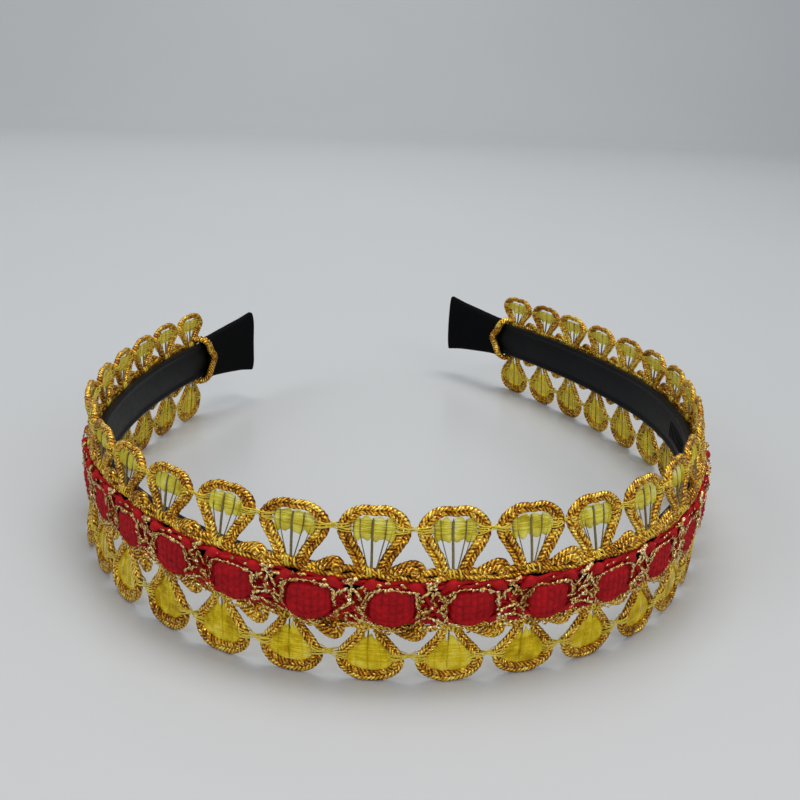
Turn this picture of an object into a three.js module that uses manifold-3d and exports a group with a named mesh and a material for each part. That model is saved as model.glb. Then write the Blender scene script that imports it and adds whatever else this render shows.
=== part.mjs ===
// Hair hoop with an openwork gold and red trim, standing on its lower edge.
// Units are millimetres, +Z is up and the closed front of the hoop faces -Y.
// Everything is drawn flat first, as length along the hoop, distance outward from the
// outer face of the hoop, and height. The flat shapes are then bent along the plan curve.
import * as THREE from 'three';
import { mergeVertices } from 'three/addons/utils/BufferGeometryUtils.js';
import Module from 'manifold-3d';

const wasm = await Module();
wasm.setup();

// Plan curve: arcs that run from the middle of the trim to each free end.
// The hoop is springy and stands a little out of true, so the two arms differ.
const frontHeadingDeg = 14;
const rightArcs = [
  { radius: 55, length: 25 },
  { radius: 64, length: 22 },
  { radius: 103, length: 44 },
  { radius: 87, length: 30 },
  { radius: 179, length: 90 },
];
const leftArcs = [
  { radius: 68, length: 25 },
  { radius: 53, length: 22 },
  { radius: 58, length: 22 },
  { radius: 81, length: 22 },
  { radius: 70, length: 30 },
  { radius: 140, length: 90 },
];

// Trim
const fanCount = 29;
const pitch = 12.5;
const trimHeight = 29.3;
const trimHalf = (fanCount * pitch) / 2;
const gap = 0.3;

// Hoop strip and the cloth sleeves on its ends
const hoopBottom = 10;
const hoopTop = 19.1;
const hoopThick = 1.8;
const rimWide = 0.9;
const rimHigh = 0.4;
const hoopHalf = trimHalf + 17.8;
const wrapStart = trimHalf + 0.8;
const wrapEnd = trimHalf + 20;
const wrapWall = 0.8;

// Gold rows
const cordWide = 2.1;
const cordThick = 1.1;
const rowBack = gap;
const rowFront = rowBack + cordThick;
const upperHeaderZ = 18.6;
const lowerHeaderZ = 10.2;

// Yellow web and red braid lie in front of the rows
const overBack = rowFront + gap;
const webThick = 0.4;
const upperWebZ = 25.8;
const lowerWebZ = 4.6;
const braidBottom = 9.4;
const braidTop = 17.6;
const blockShift = 3.1;

// Above and below the braid the rows lean off the upright, in degrees towards the head. The
// upper row leans in at the front and the lower row splays out along the arms.
const leanFrom = 45;
const leanTo = 105;
const upperLean = { foot: 19.4, front: 11, arm: 0 };
const lowerLean = { foot: 9.3, front: 0, arm: -8 };

// The hoop and the braid climb a little from the front to the arms, between the fan ends.
const climb = 2;
const climbFrom = 15;
const climbTo = 80;

function walkArcs(arcs, distance) {
  let x = 0;
  let y = 0;
  let heading = 0;
  let left = distance;
  for (const arc of arcs) {
    const run = Math.min(left, arc.length);
    const next = heading + run / arc.radius;
    x += arc.radius * (Math.sin(next) - Math.sin(heading));
    y += arc.radius * (Math.cos(heading) - Math.cos(next));
    heading = next;
    left -= run;
    if (left <= 0) break;
  }
  return { x, y, heading };
}

const turn = THREE.MathUtils.degToRad(frontHeadingDeg);

function planAt(s) {
  const side = s < 0 ? -1 : 1;
  const p = walkArcs(side < 0 ? leftArcs : rightArcs, Math.abs(s));
  const x = side * p.x;
  const heading = side * p.heading + turn;
  return {
    x: x * Math.cos(turn) - p.y * Math.sin(turn),
    y: x * Math.sin(turn) + p.y * Math.cos(turn),
    heading,
  };
}

function bendPoint(s, out, z) {
  const p = planAt(s);
  return [p.x + out * Math.sin(p.heading), p.y - out * Math.cos(p.heading), z];
}

// How far a point of a gold row or a yellow web stands inwards because of the lean.
function leanShift(s, z) {
  const along = THREE.MathUtils.smoothstep(Math.abs(s), leanFrom, leanTo);
  const lean = z > hoopTop ? upperLean : lowerLean;
  const angle = THREE.MathUtils.degToRad(lean.front + (lean.arm - lean.front) * along);
  const reach = z > hoopTop ? z - lean.foot : lean.foot - z;
  return Math.max(reach, 0) * Math.tan(angle);
}

// How far a point climbs. In a gold row or a yellow web the climb fades towards the fan ends.
function climbAt(s, z, fades) {
  const along = THREE.MathUtils.smoothstep(Math.abs(s), climbFrom, climbTo);
  const below = z / lowerLean.foot;
  const above = (trimHeight - z) / (trimHeight - upperLean.foot);
  return climb * along * (fades ? Math.min(1, below, above) : 1);
}

// Closed solid through a run of stations, each one the same number of flat points.
function stationSolid(stations) {
  const count = stations[0].length;
  const points = stations.flat();
  const tris = [];
  for (let i = 0; i + 1 < stations.length; i++) {
    for (let j = 0; j < count; j++) {
      const k = (j + 1) % count;
      const a = i * count + j;
      const b = i * count + k;
      tris.push([a, b, b + count], [a, b + count, a + count]);
    }
  }
  const section = stations[0].map((p) => new THREE.Vector2(p[1], p[2]));
  const last = (stations.length - 1) * count;
  for (const cap of THREE.ShapeUtils.triangulateShape(section, [])) {
    const [a, b, c] = followsOutline(cap, section) ? cap : [cap[0], cap[2], cap[1]];
    tris.push([c, b, a], [last + a, last + b, last + c]);
  }
  return toManifold(points, tris);
}

function followsOutline(cap, section) {
  const corners = cap.map((i) => section[i]);
  const capArea = THREE.ShapeUtils.area(corners);
  return Math.sign(capArea) === Math.sign(THREE.ShapeUtils.area(section));
}

function signedVolume(points, tris) {
  let sum = 0;
  for (const [a, b, c] of tris) {
    const p = points[a];
    const q = points[b];
    const r = points[c];
    sum += p[0] * (q[1] * r[2] - q[2] * r[1]);
    sum += p[1] * (q[2] * r[0] - q[0] * r[2]);
    sum += p[2] * (q[0] * r[1] - q[1] * r[0]);
  }
  return sum / 6;
}

function toManifold(points, tris) {
  const facing = signedVolume(points, tris) < 0 ? tris.map(([a, b, c]) => [a, c, b]) : tris;
  return new wasm.Manifold(new wasm.Mesh({
    numProp: 3,
    vertProperties: new Float32Array(points.flat()),
    triVerts: new Uint32Array(facing.flat()),
  }));
}

// Bend a flat solid along the plan curve and wrap it as a named mesh.
function bentMesh(name, solid, colour, leans = false) {
  const mesh = solid.getMesh();
  const step = mesh.numProp;
  const position = [];
  for (let i = 0; i < mesh.vertProperties.length; i += step) {
    const s = mesh.vertProperties[i];
    const z = mesh.vertProperties[i + 2];
    const out = mesh.vertProperties[i + 1] - (leans ? leanShift(s, z) : 0);
    position.push(...bendPoint(s, out, z + climbAt(s, z, leans)));
  }
  let geometry = new THREE.BufferGeometry();
  geometry.setAttribute('position', new THREE.Float32BufferAttribute(position, 3));
  geometry.setIndex([...flipForFrame(mesh.triVerts)]);
  geometry = mergeVertices(geometry, 1e-5);
  const made = new THREE.Mesh(geometry, new THREE.MeshStandardMaterial({ color: colour }));
  made.name = name;
  return made;
}

// Length, outward and height form a left-handed frame once bent, so the faces turn over.
function flipForFrame(index) {
  const flipped = [];
  for (let i = 0; i < index.length; i += 3) {
    flipped.push(index[i], index[i + 2], index[i + 1]);
  }
  return flipped;
}

function evenly(from, to, step) {
  const count = Math.ceil((to - from) / step);
  return Array.from({ length: count + 1 }, (_, i) => from + ((to - from) * i) / count);
}

function hoop() {
  const section = [
    [0, hoopBottom],
    [-hoopThick, hoopBottom],
    [-hoopThick, hoopBottom + rimWide],
    [-hoopThick + rimHigh, hoopBottom + rimWide + rimHigh],
    [-hoopThick + rimHigh, hoopTop - rimWide - rimHigh],
    [-hoopThick, hoopTop - rimWide],
    [-hoopThick, hoopTop],
    [0, hoopTop],
  ];
  const stations = evenly(-hoopHalf, hoopHalf, 8);
  return stationSolid(stations.map((s) => section.map(([out, z]) => [s, out, z])));
}

// Cloth sleeve: higher and flatter towards its square end, closed there.
function tipWrap(side) {
  const middle = (hoopBottom + hoopTop) / 2;
  const profile = [
    { along: 0, half: 6.4, inner: 0.2, outer: 0.2 },
    { along: 0.35, half: 6.9, inner: 0.1, outer: 0.1 },
    { along: 0.7, half: 7.3, inner: 0, outer: 0 },
    { along: 1, half: 7.9, inner: -0.2, outer: -0.2 },
  ];
  const outside = profile.map(({ along, half, inner, outer }) => {
    const s = side * (wrapStart + (wrapEnd - wrapStart) * along);
    const low = -hoopThick - gap - wrapWall - inner;
    const high = gap + wrapWall + outer;
    return [
      [s, low, middle - half + 0.9],
      [s, low + 1, middle - half],
      [s, high - 1, middle - half],
      [s, high, middle - half + 0.9],
      [s, high, middle + half - 0.9],
      [s, high - 1, middle + half],
      [s, low + 1, middle + half],
      [s, low, middle + half - 0.9],
    ];
  });
  const inside = evenly(wrapStart - 2, hoopHalf + gap, 5).map((d) => {
    const s = side * d;
    return [
      [s, -hoopThick - gap, hoopBottom - gap],
      [s, gap, hoopBottom - gap],
      [s, gap, hoopTop + gap],
      [s, -hoopThick - gap, hoopTop + gap],
    ];
  });
  return stationSolid(outside).subtract(stationSolid(inside));
}

// Half of one pitch of a gold row, drawn upwards from the middle of the header cord.
// The outline runs along the header, over half a curl and round half a teardrop fan.
// Each row is then squashed to the height it has above or below its own header.
const halfPitch = pitch / 2;
const fanTop = 12;
const upperSquash = (trimHeight - upperHeaderZ) / fanTop;
const lowerSquash = lowerHeaderZ / fanTop;
const halfOutline = [
  [0, -1.1],
  [halfPitch, -1.1],
  [halfPitch, 1.9],
  [5.0, 1.8],
  [4.2, 0.75],
  [2.9, 0.75],
  [5.1, 5.4],
  [5.7, 7.8],
  [5.0, 10.4],
  [2.4, fanTop],
  [0, fanTop],
  [0, fanTop - cordWide],
  [1.5, fanTop - cordWide],
  [3.1, 9.0],
  [3.65, 7.7],
  [3.2, 6.2],
  [0.8, 0.75],
  [0, 0.75],
];

// Edges of the outline that two neighbouring halves share, by the number of their first point.
const sharedAtCentre = [10, 17];
const sharedAtBorder = [1];

function fanRow(isLower) {
  const height = (up) =>
    (isLower ? lowerHeaderZ - up * lowerSquash : upperHeaderZ + up * upperSquash);
  const seen = new Map();
  const points = [];
  const pointAt = (s, out, z) => {
    const key = [s, out, z].map((v) => Math.round(v * 1000)).join(' ');
    if (!seen.has(key)) {
      seen.set(key, points.length);
      points.push([s, out, z]);
    }
    return seen.get(key);
  };
  const flat = halfOutline.map(([x, y]) => new THREE.Vector2(x, y));
  const caps = THREE.ShapeUtils.triangulateShape(flat, []).map((cap) =>
    followsOutline(cap, flat) ? cap : [cap[0], cap[2], cap[1]]);
  const tris = [];
  const halves = fanCount * 2;
  for (let h = 0; h < halves; h++) {
    const centre = (Math.floor(h / 2) - (fanCount - 1) / 2) * pitch;
    const side = h % 2 === 0 ? -1 : 1;
    const atEnd = h === 0 || h === halves - 1;
    const back = halfOutline.map(([x, y]) => pointAt(centre + side * x, rowBack, height(y)));
    const front = halfOutline.map(([x, y]) => pointAt(centre + side * x, rowFront, height(y)));
    const faces = [];
    for (const [a, b, c] of caps) {
      faces.push([back[a], back[b], back[c]], [front[a], front[c], front[b]]);
    }
    halfOutline.forEach((_, a) => {
      const shared = sharedAtCentre.includes(a) || (sharedAtBorder.includes(a) && !atEnd);
      if (shared) return;
      const b = (a + 1) % halfOutline.length;
      faces.push([back[b], back[a], front[a]], [back[b], front[a], front[b]]);
    });
    for (const [a, b, c] of faces) {
      tris.push(side < 0 ? [a, c, b] : [a, b, c]);
    }
  }
  return toManifold(points, tris);
}

// Yellow thread band: wide inside each fan, narrow where it links two fans.
const webProfile = [
  { at: -0.5, half: 0.4 },
  { at: -0.28, half: 2 },
  { at: 0.28, half: 2 },
];

function web(z) {
  const stations = [];
  for (let i = 0; i < fanCount; i++) {
    const centre = (i - (fanCount - 1) / 2) * pitch;
    for (const { at, half } of webProfile) {
      stations.push({ s: centre + at * pitch, half });
    }
  }
  stations.push({ s: trimHalf, half: 0.4 });
  return stationSolid(stations.map(({ s, half }) => [
    [s, overBack, z - half],
    [s, overBack + webThick, z - half],
    [s, overBack + webThick, z + half],
    [s, overBack, z + half],
  ]));
}

// Red braid: raised blocks, lower crossings between them, raised edges.
const braidRows = [
  { z: 9.6, rise: 0.6, block: 0 },
  { z: 10.4, rise: 0.6, block: 1 },
  { z: 15.8, rise: 0.6, block: 1 },
  { z: 16.4, rise: 0.8, block: 0 },
  { z: 17.4, rise: 0.7, block: 0 },
];
const braidStations = [
  { at: -0.5, block: 0 },
  { at: -0.34, block: 0 },
  { at: -0.27, block: 0.9 },
  { at: 0.27, block: 0.9 },
  { at: 0.34, block: 0 },
];

function centreBraid() {
  const stations = [];
  for (let i = 0; i < fanCount; i++) {
    const centre = (i - (fanCount - 1) / 2) * pitch + blockShift;
    for (const { at, block } of braidStations) {
      stations.push({ s: centre + at * pitch, block });
    }
  }
  const kept = stations.filter(({ s }) => Math.abs(s) < trimHalf - 0.8);
  kept.unshift({ s: -trimHalf + 0.6, block: 0 });
  kept.push({ s: trimHalf - 0.6, block: 0 });
  return stationSolid(kept.map(({ s, block }) => [
    [s, overBack, braidBottom],
    ...braidRows.map((row) => [s, overBack + row.rise + block * row.block, row.z]),
    [s, overBack, braidTop],
  ]));
}

// Gold cord that turns over the edges of the hoop and crosses its inner face in a point.
function endCord(side) {
  const radius = 0.8;
  const behind = -hoopThick - gap - radius;
  const end = trimHalf - 3.4;
  const knee = 2.6;
  const middle = (hoopBottom + hoopTop) / 2;
  const path = [
    [end - 1, -0.9, hoopTop + gap + radius],
    [end - 1, -1.7, hoopTop + gap + radius],
    [end - 0.6, behind, hoopTop + 0.6],
    [end + knee, behind, middle],
    [end - 0.6, behind, hoopBottom - 0.6],
    [end - 1, -1.7, hoopBottom - gap - radius],
    [end - 1, -0.9, hoopBottom - gap - radius],
  ];
  const sides = 6;
  const up = new THREE.Vector3(1, 0, 0);
  const stations = path.map((p, i) => {
    const before = new THREE.Vector3(...path[Math.max(i - 1, 0)]);
    const after = new THREE.Vector3(...path[Math.min(i + 1, path.length - 1)]);
    const dir = after.sub(before).normalize();
    const u = up.clone().addScaledVector(dir, -up.dot(dir)).normalize();
    const v = dir.clone().cross(u);
    return Array.from({ length: sides }, (_, j) => {
      const angle = (Math.PI * 2 * j) / sides;
      const a = u.clone().multiplyScalar(radius * Math.cos(angle));
      const b = v.clone().multiplyScalar(radius * Math.sin(angle));
      return [side * (p[0] + a.x + b.x), p[1] + a.y + b.y, p[2] + a.z + b.z];
    });
  });
  const points = stations.flat();
  const tris = [];
  for (let i = 0; i + 1 < stations.length; i++) {
    for (let j = 0; j < sides; j++) {
      const a = i * sides + j;
      const b = i * sides + ((j + 1) % sides);
      tris.push([a, b, b + sides], [a, b + sides, a + sides]);
    }
  }
  const last = (stations.length - 1) * sides;
  for (let j = 1; j + 1 < sides; j++) {
    tris.push([0, j + 1, j], [last, last + j, last + j + 1]);
  }
  return toManifold(points, tris);
}

const black = 0x1a1a1c;
const cloth = 0x0f0f11;
const gold = 0xc08a1a;
const yellow = 0xcfc03c;
const red = 0xa50f19;

const meshes = [
  bentMesh('hoop', hoop(), black),
  bentMesh('tip_wrap_left', tipWrap(-1), cloth),
  bentMesh('tip_wrap_right', tipWrap(1), cloth),
  bentMesh('upper_fan_row', fanRow(false), gold, true),
  bentMesh('lower_fan_row', fanRow(true), gold, true),
  bentMesh('upper_web', web(upperWebZ), yellow, true),
  bentMesh('lower_web', web(lowerWebZ), yellow, true),
  bentMesh('centre_braid', centreBraid(), red),
  bentMesh('end_cord_left', endCord(-1), gold),
  bentMesh('end_cord_right', endCord(1), gold),
];

// Put the origin at the centre of the footprint, on the surface the band stands on.
const box = new THREE.Box3();
for (const mesh of meshes) {
  mesh.geometry.computeBoundingBox();
  box.union(mesh.geometry.boundingBox);
}
const centre = box.getCenter(new THREE.Vector3());
for (const mesh of meshes) {
  mesh.geometry.translate(-centre.x, -centre.y, -box.min.z);
  mesh.geometry.computeVertexNormals();
}

const group = new THREE.Group();
group.name = 'headband';
group.add(...meshes);
export default group;
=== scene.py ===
import math

import bpy
import numpy as np
from mathutils import Matrix, Vector


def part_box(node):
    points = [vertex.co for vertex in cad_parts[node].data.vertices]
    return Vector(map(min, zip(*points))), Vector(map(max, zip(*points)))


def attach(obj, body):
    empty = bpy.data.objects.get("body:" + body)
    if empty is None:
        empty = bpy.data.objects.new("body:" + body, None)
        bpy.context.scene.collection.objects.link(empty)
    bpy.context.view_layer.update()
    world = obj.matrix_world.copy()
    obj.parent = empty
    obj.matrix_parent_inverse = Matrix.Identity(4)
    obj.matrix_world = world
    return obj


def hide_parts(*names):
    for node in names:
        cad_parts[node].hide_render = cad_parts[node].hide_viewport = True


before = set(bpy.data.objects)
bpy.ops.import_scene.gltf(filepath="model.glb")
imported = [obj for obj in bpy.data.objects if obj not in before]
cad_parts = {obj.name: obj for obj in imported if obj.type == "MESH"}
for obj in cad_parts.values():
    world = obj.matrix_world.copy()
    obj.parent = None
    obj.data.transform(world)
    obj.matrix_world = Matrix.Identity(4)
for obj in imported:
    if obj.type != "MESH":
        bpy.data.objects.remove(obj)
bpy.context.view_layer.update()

# Lengths are drawn in mm, flat (length, outward, height), and bent into place at the end.
MM = 0.001
TURN = 2 * math.pi
rng = np.random.default_rng(29)

# Plan curve, as in the part's source: arcs from the middle of the trim to each free end, in mm.
FRONT_HEADING = math.radians(14)
RIGHT_ARCS = [(55, 25), (64, 22), (103, 44), (87, 30), (179, 90)]  # radius, length
LEFT_ARCS = [(68, 25), (53, 22), (58, 22), (81, 22), (70, 30), (140, 90)]
FANS = 29
PITCH = 12.5
TRIM_HEIGHT = 29.3
TRIM_HALF = FANS * PITCH / 2
UPPER_HEADER_Z = 18.6
LOWER_HEADER_Z = 10.2
HOOP_BOTTOM = 10.0
HOOP_TOP = 19.1
HOOP_THICK = 1.8
HOOP_HALF = TRIM_HALF + 17.8
WRAP_START = TRIM_HALF + 0.8
WRAP_END = TRIM_HALF + 20
BLOCK_SHIFT = 3.1

# Lean of the rows off the upright, as in the part's source: foot height, degrees at the front
# and along the arms.
UPPER_LEAN = (19.4, 11, 0)
LOWER_LEAN = (9.3, 0, -8)
LEAN_RUN = (45, 105)  # distances from the middle between which it changes

# Climb of the hoop and the braid from the front to the arms, and where it starts and ends.
CLIMB = 2.0
CLIMB_RUN = (15, 80)


def walk(arcs, distance):
    """Point and heading at each distance along one arm, for an array of distances."""
    x = np.zeros_like(distance)
    y = np.zeros_like(distance)
    heading = np.zeros_like(distance)
    left = distance.copy()
    for radius, length in arcs:
        run = np.clip(left, 0, length)
        after = heading + run / radius
        x += radius * (np.sin(after) - np.sin(heading))
        y += radius * (np.cos(heading) - np.cos(after))
        heading = after
        left = left - run
    return x, y, heading


def plan(s):
    """Point and heading of the plan curve at each distance from the middle of the trim."""
    right = np.array(walk(RIGHT_ARCS, np.maximum(s, 0)))
    left = np.array(walk(LEFT_ARCS, np.maximum(-s, 0)))
    x = right[0] - left[0]
    y = right[1] + left[1]
    heading = right[2] - left[2] + FRONT_HEADING
    turned_x = x * math.cos(FRONT_HEADING) - y * math.sin(FRONT_HEADING)
    turned_y = x * math.sin(FRONT_HEADING) + y * math.cos(FRONT_HEADING)
    return turned_x, turned_y, heading


def raw_bend(flat):
    """(length, outward, height) in mm to plan position, before the origin is moved."""
    x, y, heading = plan(flat[:, 0])
    return np.stack([x + flat[:, 1] * np.sin(heading), y - flat[:, 1] * np.cos(heading), flat[:, 2]], 1)


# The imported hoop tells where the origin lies: its outer face is at outward 0.
edge = np.linspace(-HOOP_HALF, HOOP_HALF, 51)
level_line = np.zeros_like(edge)
outer_face = raw_bend(np.stack([edge, level_line, level_line], 1))
inner_face = raw_bend(np.stack([edge, level_line - HOOP_THICK, level_line], 1))
raw_low = np.vstack([outer_face, inner_face]).min(0)
hoop_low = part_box("hoop")[0]
SHIFT_X = hoop_low[0] / MM - raw_low[0]
SHIFT_Y = hoop_low[1] / MM - raw_low[1]


def eased(flat, run):
    """0 at the front and 1 along the arms, with a soft change between the ends of run."""
    start, end = run
    along = np.clip((np.abs(flat[:, 0]) - start) / (end - start), 0, 1)
    return along * along * (3 - 2 * along)


def lean_shift(flat):
    """How far each flat point of a gold row or a web stands inwards because of the lean."""
    along = eased(flat, LEAN_RUN)
    shift = np.zeros(len(flat))
    for (foot, front, arm), sign in ((UPPER_LEAN, 1), (LOWER_LEAN, -1)):
        reach = np.maximum(sign * (flat[:, 2] - foot), 0)
        shift += reach * np.tan(np.radians(front + (arm - front) * along))
    return shift


def climb(flat, fades):
    """How far each flat point climbs. In the rows and webs this fades towards the fan ends."""
    below = flat[:, 2] / LOWER_LEAN[0]
    above = (TRIM_HEIGHT - flat[:, 2]) / (TRIM_HEIGHT - UPPER_LEAN[0])
    fade = np.clip(np.minimum(below, above), 0, 1) if fades else 1
    return CLIMB * eased(flat, CLIMB_RUN) * fade


def bend(flat, leans):
    """Flat points in mm to their place in the frame, in metres."""
    rise = climb(flat, leans)
    if leans:
        flat = flat - np.outer(lean_shift(flat), [0, 1, 0])
    points = raw_bend(flat)
    points[:, 2] += rise
    points[:, 0] += SHIFT_X
    points[:, 1] += SHIFT_Y
    return points * MM


# Materials

class Look:
    """One material while it is made: its nodes, its links and its surface."""

    def __init__(self, name):
        self.material = bpy.data.materials.new(name)
        self.material.use_nodes = True
        self.nodes = self.material.node_tree.nodes
        self.links = self.material.node_tree.links
        self.nodes.clear()
        out = self.nodes.new("ShaderNodeOutputMaterial")
        self.surface = self.nodes.new("ShaderNodeBsdfPrincipled")
        self.links.new(self.surface.outputs[0], out.inputs[0])
        self.place = self.nodes.new("ShaderNodeTexCoord").outputs["Object"]

    def join(self, value, socket):
        """Gives a socket a number, or links another socket to it."""
        if isinstance(value, (int, float)):
            socket.default_value = value
        else:
            self.links.new(value, socket)

    def set(self, name, value):
        self.join(value, self.surface.inputs[name])

    def math(self, operation, *values):
        node = self.nodes.new("ShaderNodeMath")
        node.operation = operation
        for value, socket in zip(values, node.inputs):
            self.join(value, socket)
        return node.outputs[0]

    def weighted(self, terms, offset=0.0):
        """Sum of sockets, each times its weight."""
        total = offset
        for socket, weight in terms:
            total = self.math("ADD", self.math("MULTIPLY", socket, weight), total)
        return total

    def noise(self, scale, detail):
        node = self.nodes.new("ShaderNodeTexNoise")
        node.inputs["Scale"].default_value = scale
        node.inputs["Detail"].default_value = detail
        node.inputs["Roughness"].default_value = 0.55
        self.links.new(self.place, node.inputs["Vector"])
        return node.outputs["Fac"]

    def cord_uv(self):
        """U is the turn round the cord, V the length along it in mm."""
        uv = self.nodes.new("ShaderNodeUVMap")
        uv.uv_map = "cord"
        split = self.nodes.new("ShaderNodeSeparateXYZ")
        self.links.new(uv.outputs[0], split.inputs[0])
        return split.outputs[0], split.outputs[1]

    def stripes(self, turns_round, per_mm):
        """Sine stripes that wind round a cord, from 0 to 1."""
        u, v = self.cord_uv()
        turned = self.weighted([(u, TURN * turns_round), (v, TURN * per_mm)])
        return self.weighted([(self.math("SINE", turned), 0.5)], 0.5)

    def facets(self, girth, size):
        """Two random values for each little patch of foil on a cord, patches about size mm. metal_thread
        uses the first for the painted glint of each patch.
        """
        u, v = self.cord_uv()
        spread = self.nodes.new("ShaderNodeCombineXYZ")
        self.links.new(self.math("MULTIPLY", u, girth), spread.inputs[0])
        self.links.new(v, spread.inputs[1])
        cells = self.nodes.new("ShaderNodeTexVoronoi")
        cells.inputs["Scale"].default_value = 1 / size
        self.links.new(spread.outputs[0], cells.inputs["Vector"])
        split = self.nodes.new("ShaderNodeSeparateColor")
        self.links.new(cells.outputs["Color"], split.inputs[0])
        return split.outputs[0], split.outputs[1]

    def paint(self, tone, stops):
        """Colours the surface by a tone. Each stop is a position and a colour."""
        node = self.nodes.new("ShaderNodeValToRGB")
        elements = node.color_ramp.elements
        for element, (position, colour) in zip(elements, (stops[0], stops[-1])):
            element.position = position
            element.color = (*colour, 1)
        for position, colour in stops[1:-1]:
            elements.new(position).color = (*colour, 1)
        self.links.new(tone, node.inputs[0])
        self.links.new(node.outputs[0], self.surface.inputs["Base Color"])

    def bump(self, height, strength, depth):
        """Relief from a height, up to depth mm."""
        node = self.nodes.new("ShaderNodeBump")
        node.inputs["Strength"].default_value = strength
        node.inputs["Distance"].default_value = depth * MM
        self.links.new(height, node.inputs["Height"])
        self.links.new(node.outputs[0], self.surface.inputs["Normal"])


def metal_thread(name, stops, roughness, turns_round, per_mm, depth, girth=3.2, size=0.4):
    """Cord wound with thin metal foil: fine slanting ridges with painted shade in their grooves, and
    painted glints on scattered bright patches.
    """
    look = Look(name)
    wave = look.stripes(turns_round, per_mm)
    tone, tilt = look.facets(girth, size)
    patch = look.noise(160, 2)
    # Painted shade and glints: darker along the grooves of the winding stripes, and each foil patch gets
    # its own painted brightness, from brown shade to pale glints.
    look.paint(look.weighted([(wave, 0.30), (tone, 0.46), (patch, 0.7)], -0.25), stops)
    look.set("Metallic", 0.7)
    look.set("Roughness", look.weighted([(tilt, 0.25)], roughness - 0.12))
    look.bump(look.weighted([(wave, 0.6), (tilt, 0.7)]), 0.9, depth)
    return look.material


def soft_thread(name, dark, light, roughness, fibre_scale, depth, shine=0.5):
    look = Look(name)
    fibre = look.noise(fibre_scale, 3)
    patch = look.noise(90, 2)
    look.paint(look.weighted([(fibre, 0.6), (patch, 0.5)]), [(0.3, dark), (0.8, light)])
    look.set("Roughness", roughness)
    look.set("Specular IOR Level", shine)
    look.bump(fibre, 0.6, depth)
    return look.material


def basket(name, dark, light):
    """Woven ribbon: small squares with dark lines between them."""
    look = Look(name)
    lines = []
    for steps, count in zip(look.cord_uv(), (5.2, 5.6)):
        wave = look.math("SINE", look.math("MULTIPLY", steps, math.pi / count))
        lines.append(look.math("ABSOLUTE", wave))
    square = look.math("POWER", look.math("MINIMUM", *lines), 0.5)
    fibre = look.noise(1300, 3)
    patch = look.noise(500, 2)
    tone = look.weighted([(square, 0.24), (fibre, 0.45), (patch, 0.5)], -0.04)
    look.paint(tone, [(0.25, dark), (0.85, light)])
    look.set("Roughness", 0.7)
    look.set("Specular IOR Level", 0.15)
    look.bump(look.weighted([(square, 0.7), (fibre, 0.4)]), 0.8, 0.10)
    return look.material


def plastic():
    look = Look("black_plastic")
    look.paint(look.noise(60, 4), [(0.3, (0.0025, 0.0026, 0.003)), (0.8, (0.006, 0.0063, 0.007))])
    scuff = look.noise(700, 3)
    look.set("Roughness", look.weighted([(scuff, 0.18)], 0.36))
    look.set("Specular IOR Level", 0.09)
    look.bump(scuff, 0.12, 0.02)
    return look.material


def cloth():
    look = Look("black_cloth")
    u, v = look.cord_uv()
    warp = look.math("SINE", look.math("MULTIPLY", u, 220.0))
    weft = look.math("SINE", look.math("MULTIPLY", v, 14.0))
    weave = look.weighted([(look.math("MULTIPLY", warp, weft), 0.5)], 0.5)
    fuzz = look.noise(1600, 3)
    both = look.weighted([(weave, 0.5), (fuzz, 0.5)])
    look.paint(both, [(0.2, (0.0012, 0.0013, 0.0015)), (0.85, (0.005, 0.0053, 0.006))])
    look.set("Roughness", 0.85)
    look.set("Specular IOR Level", 0.05)
    look.bump(both, 0.5, 0.08)
    return look.material


def thread_bundle(name, dark, light, pale, lift=0.0):
    """Bundle of level threads, with pale patches painted where light comes through them. lift adds more
    of the painted pale light for each mm away from the header.
    """
    look = Look(name)
    wave = look.stripes(0, 2.6)
    patch = look.noise(380, 2)
    along = look.cord_uv()[1]
    tone = look.weighted([(wave, 0.12), (patch, 1.1), (along, lift)], -0.12 - 2 * lift)
    look.paint(tone, [(0.25, dark), (0.58, light), (0.85, pale)])
    look.set("Roughness", 0.35)
    look.set("Transmission Weight", 0.4)
    look.set("IOR", 1.08)
    look.bump(wave, 0.5, 0.03)
    return look.material


def floor_material():
    look = Look("floor_grey")
    look.paint(look.noise(3, 2), [(0.2, (0.49, 0.505, 0.515)), (0.8, (0.52, 0.53, 0.54))])
    look.set("Roughness", 0.28)
    look.set("Specular IOR Level", 0.3)
    return look.material


# Colour ramps of the foil cords and the tinsel. The dark brown stops are painted shade in the grooves of
# the foil, and the palest stops are painted glints.
GOLD_SHADE_GLINT_STOPS = [
    (0.22, (0.11, 0.028, 0.0008)),
    (0.42, (0.44, 0.155, 0.003)),
    (0.60, (0.84, 0.46, 0.012)),
    (0.80, (1.0, 0.84, 0.20)),
]
TINSEL_SHADE_GLINT_STOPS = [
    (0.2, (0.22, 0.07, 0.008)),
    (0.42, (0.62, 0.36, 0.07)),
    (0.62, (0.94, 0.74, 0.30)),
    (0.78, (1.0, 0.96, 0.74)),
]
gold = metal_thread("gold_gimp", GOLD_SHADE_GLINT_STOPS, 0.34, 3, 1.5, 0.19)
gold_header = metal_thread("gold_header", GOLD_SHADE_GLINT_STOPS, 0.34, 3, 1.4, 0.16, size=0.45)
tinsel_foil = metal_thread("tinsel_foil", TINSEL_SHADE_GLINT_STOPS, 0.24, 1, 1.1, 0.06, 1.4, 0.5)
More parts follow.
